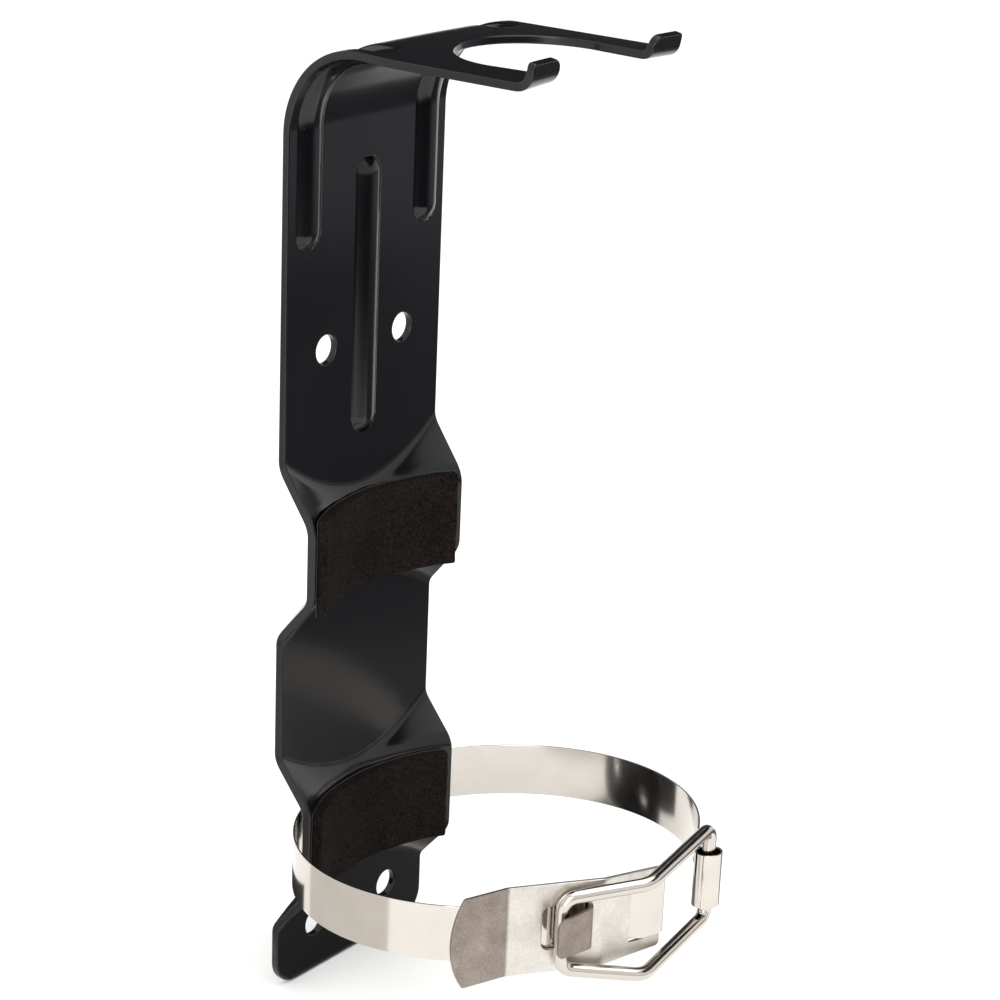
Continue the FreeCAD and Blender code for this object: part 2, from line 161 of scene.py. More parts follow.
def pressedSheet(name, outline, holes, place, thickness, edgeRound, step):
    # a sheet of constant thickness laid on place(), its cut edges slightly rounded
    loops = [outline] + holes
    inner, outward, edges, start = [], [], [], 0
    for loop in loops:
        along = unit(np.roll(loop, -1, axis=0) - np.roll(loop, 1, axis=0))
        away = np.stack([along[:, 1], -along[:, 0]], axis=1)
        inner.append(loop - away * edgeRound)
        outward.append(away)
        edges += [(start + i, start + (i + 1) % len(loop)) for i in range(len(loop))]
        start += len(loop)
    low, high = outline.min(axis=0), outline.max(axis=0)
    counts = np.ceil((high - low) / step).astype(int)
    gridAcross = np.linspace(low[0], high[0], counts[0] + 1)
    gridUp = np.linspace(low[1], high[1], counts[1] + 1)
    grid = np.stack(np.meshgrid(gridAcross, gridUp), axis=-1).reshape(-1, 2)
    grid = grid[insideLoops(grid, inner)]
    grid = grid[nearestEdge(grid, inner) > 0.55 * step]
    seeds = np.concatenate(inner + [grid])
    spots, _, faces, origins, _, _ = delaunay_2d_cdt(
        [Vector(p) for p in seeds.tolist()], edges, [], 0, 1e-6)
    flat = np.array([tuple(p) for p in spots])
    faces = np.array([f for f in faces if len(f) == 3])
    faces = faces[insideLoops(flat[faces].mean(axis=1), inner)]
    where = {source: here for here, sources in enumerate(origins) for source in sources}

    half = thickness / 2
    middle, facing = placeAndNormal(place, flat)
    points = [middle + facing * half, middle - facing * half]
    normals = [facing, -facing]
    uv = [flat, flat]
    nearness = nearestEdge(flat, loops)
    closeness = [nearness, nearness]
    total = len(flat)
    quads = faces.tolist() + (faces[:, ::-1] + total).tolist()
    used = 2 * total
    turns = np.linspace(0, math.pi / 2, 5)
    profile = [(edgeRound * math.sin(t), half - edgeRound + edgeRound * math.cos(t), t)
               for t in turns]
    profile += [(out, -rise, math.pi - t) for out, rise, t in reversed(profile)]
    start = 0
    for ring, away in zip(inner, outward):
        base, lift = placeAndNormal(place, ring)
        edgeWay = place(ring + away * 0.1) - place(ring - away * 0.1)
        edgeWay = unit(edgeWay - lift * np.sum(edgeWay * lift, axis=1, keepdims=True))
        first = np.array([where[start + i] for i in range(len(ring))])
        rows = [first]
        for out, rise, t in profile[1:-1]:
            points.append(base + edgeWay * out + lift * rise)
            normals.append(edgeWay * math.sin(t) + lift * math.cos(t))
            uv.append(ring + away * out)
            closeness.append(np.zeros(len(ring)))
            rows.append(np.arange(used, used + len(ring)))
            used += len(ring)
        rows.append(first + total)
        for upper, lower in zip(rows, rows[1:]):
            quads += np.stack(
                [upper, lower, np.roll(lower, -1), np.roll(upper, -1)], axis=1).tolist()
        start += len(ring)
    return addMesh(name, np.concatenate(points), quads, np.concatenate(normals),
                   np.concatenate(uv), {"edgeDistance": np.concatenate(closeness)})


def addMesh(name, points, faces, normals, spots, attributes=None):
    mesh = bpy.data.meshes.new(name)
    mesh.from_pydata((np.asarray(points) * 0.001).tolist(), [], faces)
    mesh.polygons.foreach_set("use_smooth", [True] * len(mesh.polygons))
    layer = mesh.uv_layers.new(name="sheetPlace")
    corner = np.empty(len(mesh.loops), dtype=np.int32)
    mesh.loops.foreach_get("vertex_index", corner)
    layer.data.foreach_set("uv", (np.asarray(spots)[corner] * 0.001).astype(np.float32).ravel())
    for key, values in (attributes or {}).items():
        mesh.attributes.new(key, "FLOAT", "POINT").data.foreach_set(
            "value", np.asarray(values, dtype=np.float32))
    mesh.update()
    mesh.normals_split_custom_set_from_vertices(unit(np.asarray(normals)).tolist())
    piece = bpy.data.objects.new(name, mesh)
    bpy.context.scene.collection.objects.link(piece)
    return piece


def sweptStrip(name, line, marks, middle, halfWidth, halfThick, edgeRound):
    # a flat strip standing on edge along a plan line, both ends cut square
    along = unit(np.gradient(line, axis=0))
    side = np.stack([along[:, 1], -along[:, 0]], axis=1)
    profile = []
    for signA, signB in ((1, -1), (1, 1), (-1, 1), (-1, -1)):
        quarter = math.atan2(signB, signA)
        for t in np.linspace(-math.pi / 4, math.pi / 4, 4):
            a, b = math.cos(quarter + t), math.sin(quarter + t)
            profile.append((signA * (halfThick - edgeRound) + edgeRound * a,
                            signB * (halfWidth - edgeRound) + edgeRound * b, a, b))
        if signA == signB:
            continue
        for part in np.linspace(-1, 1, 8)[1:-1]:
            profile.append((signA * halfThick, -signB * part * (halfWidth - edgeRound), signA, 0.0))
    ringSize = len(profile)
    points, normals, uv, closeness = [], [], [], []
    for out, rise, normalOut, normalRise in profile:
        points.append(np.column_stack([line + side * out, middle + rise]))
        normals.append(np.column_stack([side * normalOut, np.full(len(line), normalRise)]))
        uv.append(np.column_stack([marks, np.full(len(line), rise)]))
        closeness.append(np.full(len(line), halfWidth - abs(rise)))
    points = np.stack(points, axis=1).reshape(-1, 3)
    normals = np.stack(normals, axis=1).reshape(-1, 3)
    uv = np.stack(uv, axis=1).reshape(-1, 2)
    closeness = np.stack(closeness, axis=1).reshape(-1)
    faces = []
    for row in range(len(line) - 1):
        for k in range(ringSize):
            nextK = (k + 1) % ringSize
            faces.append((row * ringSize + k, (row + 1) * ringSize + k,
                          (row + 1) * ringSize + nextK, row * ringSize + nextK))
    for row, way in ((0, -1), (len(line) - 1, 1)):
        cap = np.arange(row * ringSize, (row + 1) * ringSize)
        extra = np.arange(len(points), len(points) + ringSize)
        points = np.concatenate([points, points[cap]])
        facing = np.append(along[row] * way, 0.0)
        normals = np.concatenate([normals, np.tile(facing, (ringSize, 1))])
        uv = np.concatenate([uv, uv[cap]])
        closeness = np.concatenate([closeness, np.zeros(ringSize)])
        faces.append(tuple(extra[::-1].tolist() if way > 0 else extra.tolist()))
    return addMesh(name, points, faces, normals, uv, {"edgeDistance": closeness})


def bentWire(name, corners, wireRound, reference, step=0.8):
    # round wire laid round closed corners (point, round)
    line = []
    for index, (tip, turn) in enumerate(corners):
        before = unit(corners[index - 1][0] - tip)
        after = unit(corners[(index + 1) % len(corners)][0] - tip)
        opening = math.acos(float(np.clip(before @ after, -1, 1)))
        centre = tip + unit(before + after) * turn / math.sin(opening / 2)
        start = tip + before * turn / math.tan(opening / 2) - centre
        end = tip + after * turn / math.tan(opening / 2) - centre
        sweep = math.pi - opening
        for part in np.linspace(0, 1, max(6, int(sweep * turn / step) + 2)):
            line.append(centre + (start * math.sin((1 - part) * sweep)
                                  + end * math.sin(part * sweep)) / math.sin(sweep))
    line = np.array(line + line[:1])
    lengths = np.concatenate([[0], np.cumsum(np.linalg.norm(np.diff(line, axis=0), axis=1))])
    marks = np.linspace(0, lengths[-1], int(lengths[-1] / step) + 1)[:-1]
    line = np.stack([np.interp(marks, lengths, line[:, k]) for k in range(3)], axis=1)
    along = unit(np.roll(line, -1, axis=0) - np.roll(line, 1, axis=0))
    side = unit(reference - along * (along @ reference)[:, None])
    other = np.cross(along, side)
    around = np.linspace(0, 2 * math.pi, 28, endpoint=False)
    normals = (side[:, None, :] * np.cos(around)[None, :, None]
               + other[:, None, :] * np.sin(around)[None, :, None])
    points = line[:, None, :] + normals * wireRound
    uv = np.stack(np.broadcast_arrays(marks[:, None], around[None, :] * wireRound), axis=-1)
    faces = []
    for row in range(len(line)):
        nextRow = (row + 1) % len(line)
        for k in range(28):
            nextK = (k + 1) % 28
            faces.append((row * 28 + k, row * 28 + nextK, nextRow * 28 + nextK, nextRow * 28 + k))
    return addMesh(name, points.reshape(-1, 3), faces, normals.reshape(-1, 3), uv.reshape(-1, 2),
                   {"edgeDistance": np.full(points.shape[0] * 28, 6.0)})


plate = {
    "halfWidth": 38.1,
    "thickness": 2.66,
    "bottom": -119.5,
    "cornerRound": 9.5,
    "bendStart": 172.8,
    "bendRound": 28.67,
    "tipBendReach": 86.9,
    "tipBendRound": 3.4,
    "tipTurn": 79.0,
    "tipLength": 3.6,
    "tipCornerIn": 3.6,
    "tipCornerOut": 1.2,
    "bendReach": 30.0,
    "mouthReach": 88.0,
    "crown": 1.0,
    "tilt": 0.7,
    "forkRound": 25.5,
    "forkReach": 67.0,
    "forkHalf": 24.0,
    "holeRound": 4.75,
    "holeX": 18.75,
    "holeZ": 101.6,
    "cylinderReach": 71.4,
    "waistRound": 68.4,
    "foldSoftness": 2.0,
    "edgeRound": 0.55,
    "meshStep": 1.0,
}

saddles = [  # straight zone, and how fast each ramp opens out below and above it
    {"low": 23.0, "high": 49.0, "lowSlope": 0.733, "highSlope": 0.633},
    {"low": -82.0, "high": -49.5, "lowSlope": 0.758, "highSlope": 0.733},
]

ribs = {
    "round": 6.17,
    "sink": 3.57,
    "softness": 1.1,
    "middle": (75.7, 155.5),
    "sideX": 28.5,
    "side": (141.2, 219.8),
    "runOut": 14.0,
}


def plateLine():
    # heading of the sheet's middle line: up the wall, over the bend, up again at the tips
    step = 0.05
    marks = np.arange(plate["bottom"] - 6, 300, step)
    bendEnd = plate["bendStart"] + plate["bendRound"] * math.pi / 2
    tipStart = bendEnd + plate["tipBendReach"] - plate["bendReach"]
    tipEnd = tipStart + plate["tipBendRound"] * math.radians(plate["tipTurn"])
    curl = np.where((marks > plate["bendStart"]) & (marks < bendEnd), 1 / plate["bendRound"], 0.0)
    curl = np.where((marks > tipStart) & (marks < tipEnd), -1 / plate["tipBendRound"], curl)
    curl = np.convolve(curl, np.full(30, 1 / 30), mode="same")
    heading = np.cumsum(curl) * step
    y = -plate["thickness"] / 2 - np.cumsum(np.sin(heading)) * step
    z = marks[0] + np.cumsum(np.cos(heading)) * step
    return marks, y, z, heading, bendEnd, tipEnd


plateMarks, plateY, plateZ, plateHeading, bendEnd, tipEnd = plateLine()


def saddleDepth(x, s):
    opening = np.full(len(s), 1e3)
    for saddle in saddles:
        ramp = np.maximum(saddle["lowSlope"] * (saddle["low"] - s),
                          saddle["highSlope"] * (s - saddle["high"]))
        opening = np.minimum(opening, softMax(ramp, np.zeros(len(s)), plate["foldSoftness"]))
    turn = np.minimum(plate["waistRound"] + opening, 140.0)
    form = np.sqrt(turn * turn - x * x) - plate["cylinderReach"]
    flat = -plate["thickness"] / 2
    return flat - softMin(np.full(len(s), flat), form, plate["foldSoftness"])


def ribDepth(x, s):
    depth = np.zeros(len(s))
    runs = [(0.0, *ribs["middle"]), (-ribs["sideX"], *ribs["side"]), (ribs["sideX"], *ribs["side"])]
    for ribX, low, high in runs:
        gap = np.hypot(x - ribX, s - np.clip(s, low, high))
        crest = np.sqrt(np.maximum(ribs["round"] ** 2 - gap ** 2, 0.0)) - ribs["sink"]
        fade = 1.0 if ribX == 0 else np.clip((high + 6.0 - s) / ribs["runOut"], 0, 1) ** 0.7
        depth = np.maximum(depth, softMax(crest, np.zeros(len(s)), ribs["softness"]) * fade)
    return depth


def platePlace(spots):
    x, s = spots[:, 0], spots[:, 1]
    y = np.interp(s, plateMarks, plateY)
    z = np.interp(s, plateMarks, plateZ)
    heading = np.interp(s, plateMarks, plateHeading)
    over = np.clip((s - plate["bendStart"] - 20) / 40, 0, 1)
    across = x / plate["halfWidth"]
    lean = plate["crown"] * (across ** 2 - 0.3) - plate["tilt"] * across
    crown = lean * over * over * (3 - 2 * over)
    depth = saddleDepth(x, s) + ribDepth(x, s) + crown
    return np.stack([x, y - np.cos(heading) * depth, z - np.sin(heading) * depth], axis=1)


def makePlate():
    half, forkHalf, forkRound = plate["halfWidth"], plate["forkHalf"], plate["forkRound"]
    cornerRound, tipIn, tipOut = plate["cornerRound"], plate["tipCornerIn"], plate["tipCornerOut"]
    top = tipEnd + plate["tipLength"]
    neck = bendEnd + plate["forkReach"] - plate["bendReach"]
    mouth = bendEnd + plate["mouthReach"] - plate["bendReach"]
    corners = [(-half, plate["bottom"], cornerRound), (half, plate["bottom"], cornerRound),
               (half, top, tipOut), (forkHalf, top, tipIn), (forkHalf, mouth, 0)]
    for angle in np.radians(np.arange(8, -189, -4.0)):
        corners.append((forkRound * math.cos(angle), neck + forkRound * math.sin(angle), 0))
    corners += [(-forkHalf, mouth, 0), (-forkHalf, top, tipIn), (-half, top, tipOut)]
    outline = roundedLoop(corners, plate["meshStep"])
    holes = [roundHole(x, z, plate["holeRound"], 48)
             for x in (-plate["holeX"], plate["holeX"]) for z in (-plate["holeZ"], plate["holeZ"])]
    return pressedSheet("pressedBackPlate", outline, holes, platePlace, plate["thickness"],
                        plate["edgeRound"], plate["meshStep"])


pads = {
    "halfWidth": 35.0,
    "height": 32.0,
    "front": 63.5,
    "back": 66.87,
    "filmBack": 67.07,
    "upper": 34.7,
    "lower": -67.65,
    "edgeRound": 0.55,
}


def padPiece(name, middle, front, back, edgeRound, grow, step, wave):
    radius = (front + back) / 2
    turn = math.asin(pads["halfWidth"] / (pads["back"] + 0.2)) * radius + grow
    half = pads["height"] / 2 + grow
    outline = roundedLoop([(-turn, middle - half, 0.8), (turn, middle - half, 0.8),
                           (turn, middle + half, 0.8), (-turn, middle + half, 0.8)], step)
    across, rise = outline[:, 0], outline[:, 1]
    outline = outline + wave * np.stack([  # knife-cut edges are never quite straight
        np.sin(rise * 0.31 + middle) + 0.6 * np.sin(rise * 0.83),
        np.sin(across * 0.23 + 1.0) + 0.6 * np.sin(across * 0.71)], axis=1)

    def place(spots):
        angle = spots[:, 0] / radius
        swell = wave * (np.sin(spots[:, 0] * 0.19 + middle) * np.sin(spots[:, 1] * 0.27))
        reach = radius + swell
        return np.stack(
            [np.sin(angle) * reach, np.cos(angle) * reach - plate["cylinderReach"], spots[:, 1]],
            axis=1)

    return pressedSheet(name, outline, [], place, back - front, edgeRound, step)


band = {
    "thickness": 0.6,
    "width": 18.7,
    "ringRound": 66.05,
    "ringReach": 63.55,
    "middle": -59.07,
    "fall": 0.09,
    "leftTurn": -17.3,
    "rightTurn": 30.5,
    "rightRun": 20.7,
    "leftRun": 13.5,
    "loopRound": 1.85,
    "lapStart": 15.6,
    "lapFoot": 10.6,
    "lapTop": 6.0,
    "knuckleRound": 4.1,
    "wallLine": -0.6,
    "edgeRound": 0.16,
}


def planSpot(turn, along, out):
    turn = np.radians(turn)
    x = along * np.cos(turn) + out * np.sin(turn)
    y = -band["ringReach"] + along * np.sin(turn) - out * np.cos(turn)
    return np.stack(np.broadcast_arrays(x, y), axis=-1)


def makeBand():
    ring, left, run = band["ringRound"], band["leftTurn"], band["leftRun"]
    loopRound, tail = band["loopRound"], band["ringRound"] + band["thickness"] + 0.05
    marks, lap = steppedLine(np.stack([planSpot(left, a, d) for a, d in (
        (run - band["lapStart"], tail), (run - band["lapFoot"], tail),
        (run - band["lapTop"], ring + 2 * loopRound), (run, ring + 2 * loopRound))]), 0.35)
    for _ in range(6):  # the dives are bends, not creases
        lap[1:-1] += 0.25 * (lap[:-2] + lap[2:] - 2 * lap[1:-1])
    turns = np.radians(np.linspace(0, 180, 24)[1:-1])
    loop = planSpot(
        left, run + loopRound * np.sin(turns), ring + loopRound + loopRound * np.cos(turns))
    inner = planSpot(left, np.linspace(run, 0, 30), ring)
    hoopTurns = np.linspace(left, band["rightTurn"] - 360, 900)[1:]
    hoop = planSpot(hoopTurns, 0.0, ring)
    hoop[:, 1] = softMin(hoop[:, 1], np.full(len(hoop), band["wallLine"]), 1.6)
    right = planSpot(band["rightTurn"], -np.linspace(0, band["rightRun"], 40)[1:], ring)
    roll = np.radians(np.linspace(0, 340, 70)[1:])
    knuckle = planSpot(band["rightTurn"], -band["rightRun"] - band["knuckleRound"] * np.sin(roll),
                       ring + band["knuckleRound"] - band["knuckleRound"] * np.cos(roll))
    marks, line = steppedLine(np.concatenate([lap, loop, inner, hoop, right, knuckle]), 0.35)
    middle = band["middle"] + band["fall"] * (-band["ringReach"] - line[:, 1])
    return sweptStrip("rolledStrapBand", line, marks, middle, band["width"] / 2,
                      band["thickness"] / 2, band["edgeRound"])


lever = {
    "turn": -36.0,
    "thickness": 1.3,
    "face": 67.95,
    "halfHeight": 15.0,
    "middle": -52.87,
    "leftRun": 16.5,
    "rightRun": 14.0,
    "gripLength": 20.0,
    "gripTurn": 16.0,
    "gripRound": 27.0,
    "railLength": 22.03,
    "windowStart": 10.8,
    "windowHalfHeight": 10.2,
    "crossbarHalf": 1.3,
    "slotLeft": 5.4,
    "slotRight": 9.4,
    "slotHalfHeight": 7.4,
    "edgeRound": 0.3,
    "meshStep": 0.7,
}


def leverSpot(along, out):
    return planSpot(
        lever["turn"], np.asarray(along, dtype=float), lever["face"] + np.asarray(out, dtype=float))


def sheetAlong(line, marks, middle):
    # places a flat outline (running length, height) on a bent plan line
    def place(spots):
        u = spots[:, 0]
        inside = np.clip(u, marks[0], marks[-1])
        x = np.interp(inside, marks, line[:, 0])
        y = np.interp(inside, marks, line[:, 1])
        first, last = unit(line[1] - line[0]), unit(line[-1] - line[-2])
        over = (u - inside)[:, None]
        beyond = np.where(over > 0, over * last, over * first)
        return np.stack([x + beyond[:, 0], y + beyond[:, 1], middle + spots[:, 1]], axis=1)
    return place


def makeLever():
    half = lever["thickness"] / 2
    gripTurn, grip, left = math.radians(lever["gripTurn"]), lever["gripLength"], lever["leftRun"]
    pivot = planSpot(band["leftTurn"], band["leftRun"], band["ringRound"] + band["loopRound"])
    gripEnd = leverSpot(-left - grip * math.cos(gripTurn), -half + grip * math.sin(gripTurn))
    corners = [
        (*gripEnd, 0), (*leverSpot(-left, -half), 6.0), (*leverSpot(lever["rightRun"], -half), 3.0),
        (*pivot, 0)]
    marks, line = bentLine(corners)
    place = sheetAlong(line, marks, lever["middle"])
    length, tall = marks[-1], lever["halfHeight"]
    crease = length - lever["railLength"]
    outline = []
    for angle in np.linspace(-math.asin((tall - 1.8) / lever["gripRound"]),
                             math.asin((tall - 1.8) / lever["gripRound"]), 25):
        outline.append((lever["gripRound"] - lever["gripRound"] * math.cos(angle),
                        -lever["gripRound"] * math.sin(angle), 0))
    back = outline[-1][0]
    end = length + lever["crossbarHalf"]
    corners = outline + [(back + 1.0, -tall, 1.0), (crease, -tall, 0), (end, 0.6 - tall, 1.6),
                         (end, tall - 1.9, 1.6), (crease, tall, 0), (back + 1.0, tall, 1.0)]
    outline = roundedLoop(corners, lever["meshStep"])
    slotLow, slotHigh = grip + left - lever["slotLeft"], grip + left + lever["slotRight"]
    slotTall, windowTall = lever["slotHalfHeight"], lever["windowHalfHeight"]
    windowLow, windowHigh = crease + lever["windowStart"], length - lever["crossbarHalf"]
    slot = roundedLoop([(slotLow, -slotTall, 2.6), (slotLow, slotTall, 2.6),
                        (slotHigh, slotTall, 0.8), (slotHigh, -slotTall, 0.8)], lever["meshStep"])
    window = roundedLoop([(windowLow, -windowTall, 1.2), (windowLow, windowTall, 1.2),
                          (windowHigh, windowTall, 0.5), (windowHigh, -windowTall, 0.5)],
                         lever["meshStep"])
    return pressedSheet("stampedLatchLever", outline, [slot, window], place, lever["thickness"],
                        lever["edgeRound"], lever["meshStep"])


hookTab = {
    "thickness": 1.2,
    "foot": 12.6,
    "riser": 9.9,
    "rise": 2.0,
    "run": 12.9,
    "slope": 27.0,
    "rootHalfHeight": 7.2,
    "tipHalfHeight": 6.3,
    "tipRound": 2.6,
    "edgeRound": 0.3,
    "meshStep": 0.5,
}


def makeHookTab():
    half = lever["thickness"] / 2
    riser, rise, run = hookTab["riser"], hookTab["rise"], hookTab["run"]
    corners = [(*leverSpot(hookTab["foot"], -half), 0), (*leverSpot(riser, -half), 0.9),
               (*leverSpot(riser, rise), 2.4),
               (*leverSpot(riser - run, rise + run * math.tan(math.radians(hookTab["slope"]))), 0)]
    marks, line = bentLine(corners)
    place = sheetAlong(line, marks, lever["middle"])
    length, root = marks[-1], hookTab["rootHalfHeight"]
    tip, tipRound = hookTab["tipHalfHeight"], hookTab["tipRound"]
    corners = [(0.0, -root, 0.2), (3.5, -root, 0), (length, -tip, tipRound),
               (length, tip, tipRound), (3.5, root, 0), (0.0, root, 0.2)]
    outline = roundedLoop(corners, hookTab["meshStep"])
    return pressedSheet("stampedHookTab", outline, [], place, hookTab["thickness"],
                        hookTab["edgeRound"], hookTab["meshStep"])


bail = {
    "round": 2.2,
    "shoulder": (-20.6, -137.8),
    "lift": 2.85,
    "corners": (4.5, 8.0, 3.5),
    "middles": (-53.6, -54.5, -50.6),
    "halfHeights": (11.9, 15.7, 15.7),
}


def makeBail():
    hook = leverSpot(0.0, bail["lift"])
    shoulder = np.array(bail["shoulder"])
    knuckle = planSpot(
        band["rightTurn"], -band["rightRun"], band["ringRound"] + band["knuckleRound"])
    stations = list(zip((hook, shoulder, knuckle), bail["middles"], bail["halfHeights"],
                        bail["corners"]))
    tops = [(np.array((*p, z + rise)), turn) for p, z, rise, turn in stations]
    lows = [(np.array((*p, z - rise)), turn) for p, z, rise, turn in stations]
    return bentWire("bentBailWire", tops + lows[::-1], bail["round"], np.array((-0.4, -0.9, 0.0)))


def linear(code):
    parts = [int(code[i:i + 2], 16) / 255 for i in (1, 3, 5)]
    return tuple(c / 12.92 if c <= 0.04045 else ((c + 0.055) / 1.055) ** 2.4
                 for c in parts) + (1.0,)


def addNode(tree, kind, links=None, values=None, **settings):
    node = tree.nodes.new(kind)
    for key, value in settings.items():
        setattr(node, key, value)
    for socket, value in (values or {}).items():
        node.inputs[socket].default_value = value
    for socket, source in (links or {}).items():
        tree.links.new(source, node.inputs[socket])
    return node


def newMaterial(name):
    material = bpy.data.materials.new(name)
    material.use_nodes = True
    tree = material.node_tree
    tree.nodes.clear()
    shader = addNode(tree, "ShaderNodeBsdfPrincipled")
    addNode(tree, "ShaderNodeOutputMaterial", {"Surface": shader.outputs[0]})
    return material, tree, shader


def connect(tree, shader, socket, source):
    tree.links.new(source, shader.inputs[socket])


powderCoat = {
    "colour": "#060609", "edgeColour": "#111015", "roughness": 0.17, "peel": 1.4, "speck": 7.0}


def powderCoatedSteel():
    # black powder coat on pressed steel: deep gloss, soft orange peel, a few caught specks
    material, tree, shader = newMaterial("powderCoatedSteel")
    place = addNode(tree, "ShaderNodeTexCoord")
    where = place.outputs["Object"]
    peel = addNode(
        tree, "ShaderNodeTexNoise", {"Vector": where},
        {"Scale": 1000 / powderCoat["peel"], "Detail": 2.0, "Roughness": 0.45})
    cloud = addNode(tree, "ShaderNodeTexNoise", {"Vector": where}, {"Scale": 22.0, "Detail": 3.0})
    speck = addNode(
        tree, "ShaderNodeTexVoronoi", {"Vector": where},
        {"Scale": 1000 / powderCoat["speck"], "Randomness": 1.0})
    speckMask = addNode(
        tree, "ShaderNodeMapRange", {"Value": speck.outputs["Distance"]},
        {"From Min": 0.02, "From Max": 0.05, "To Min": 1.0, "To Max": 0.0})
    edge = addNode(tree, "ShaderNodeAttribute", attribute_name="edgeDistance")
    edgeMask = addNode(
        tree, "ShaderNodeMapRange", {"Value": edge.outputs["Fac"]},
        {"From Min": 0.0, "From Max": 1.2, "To Min": 1.0, "To Max": 0.0})
    edgeShare = addNode(
        tree, "ShaderNodeMath", {0: edgeMask.outputs[0], 1: cloud.outputs["Fac"]},
        operation="MULTIPLY")
    tint = addNode(
        tree, "ShaderNodeMix", {"Factor": edgeShare.outputs[0]},
        {"A": linear(powderCoat["colour"]), "B": linear(powderCoat["edgeColour"])},
        data_type="RGBA")
    connect(tree, shader, "Base Color", tint.outputs["Result"])
    gloss = addNode(
        tree, "ShaderNodeMapRange", {"Value": cloud.outputs["Fac"]},
        {"From Min": 0.3, "From Max": 0.7, "To Min": powderCoat["roughness"] - 0.03,
            "To Max": powderCoat["roughness"] + 0.05})
    connect(tree, shader, "Roughness", gloss.outputs[0])
    bump = addNode(
        tree, "ShaderNodeBump", {"Height": peel.outputs["Fac"]},
        {"Strength": 0.35, "Distance": 0.00003})
    specks = addNode(
        tree, "ShaderNodeBump", {"Height": speckMask.outputs[0], "Normal": bump.outputs[0]},
        {"Strength": 0.5, "Distance": 0.00006})
    connect(tree, shader, "Normal", specks.outputs[0])
    shader.inputs["IOR"].default_value = 1.5
    shader.inputs["Specular IOR Level"].default_value = 0.42
    return material


rolledStrip = {
    "colour": "#d9d3cc", "shade": "#cac3bb", "roughness": 0.09, "lineGap": 0.22, "lineLength": 40.0}


def rolledStainless():
    # bright rolled stainless strip: near mirror, faint lines along the rolling
    material, tree, shader = newMaterial("rolledStainlessStrip")
    place = addNode(tree, "ShaderNodeUVMap", uv_map="sheetPlace")
    lines = addNode(
        tree, "ShaderNodeMapping", {"Vector": place.outputs[0]},
        {"Scale": (1000 / rolledStrip["lineLength"], 1000 / rolledStrip["lineGap"], 1.0)})
    grain = addNode(
        tree, "ShaderNodeTexNoise", {"Vector": lines.outputs[0]},
        {"Scale": 1.0, "Detail": 3.0, "Roughness": 0.6})
    cloud = addNode(
        tree, "ShaderNodeTexNoise", {"Vector": place.outputs[0]}, {"Scale": 90.0, "Detail": 3.0})
    tint = addNode(
        tree, "ShaderNodeMix", {"Factor": cloud.outputs["Fac"]},
        {"A": linear(rolledStrip["colour"]), "B": linear(rolledStrip["shade"])}, data_type="RGBA")
    connect(tree, shader, "Base Color", tint.outputs["Result"])
    gloss = addNode(
        tree, "ShaderNodeMapRange", {"Value": grain.outputs["Fac"]},
        {"From Min": 0.3, "From Max": 0.7, "To Min": rolledStrip["roughness"] - 0.03,
            "To Max": rolledStrip["roughness"] + 0.07})
    connect(tree, shader, "Roughness", gloss.outputs[0])
    bump = addNode(
        tree, "ShaderNodeBump", {"Height": grain.outputs["Fac"]},
        {"Strength": 0.12, "Distance": 0.00002})
    connect(tree, shader, "Normal", bump.outputs[0])
    shader.inputs["Metallic"].default_value = 1.0
    return material


# two copies of one stainless colour: the darker pair is painted shade on the grip and hook tab, the
# lighter pair is the lever body
tumbled = {
    "shadedGripTone": "#9e938a", "shadedGripMottle": "#81766e", "litBodyTone": "#dbd7d1", "litBodyMottle": "#c6c1b9",
    "roughness": 0.36, "grain": 0.35}


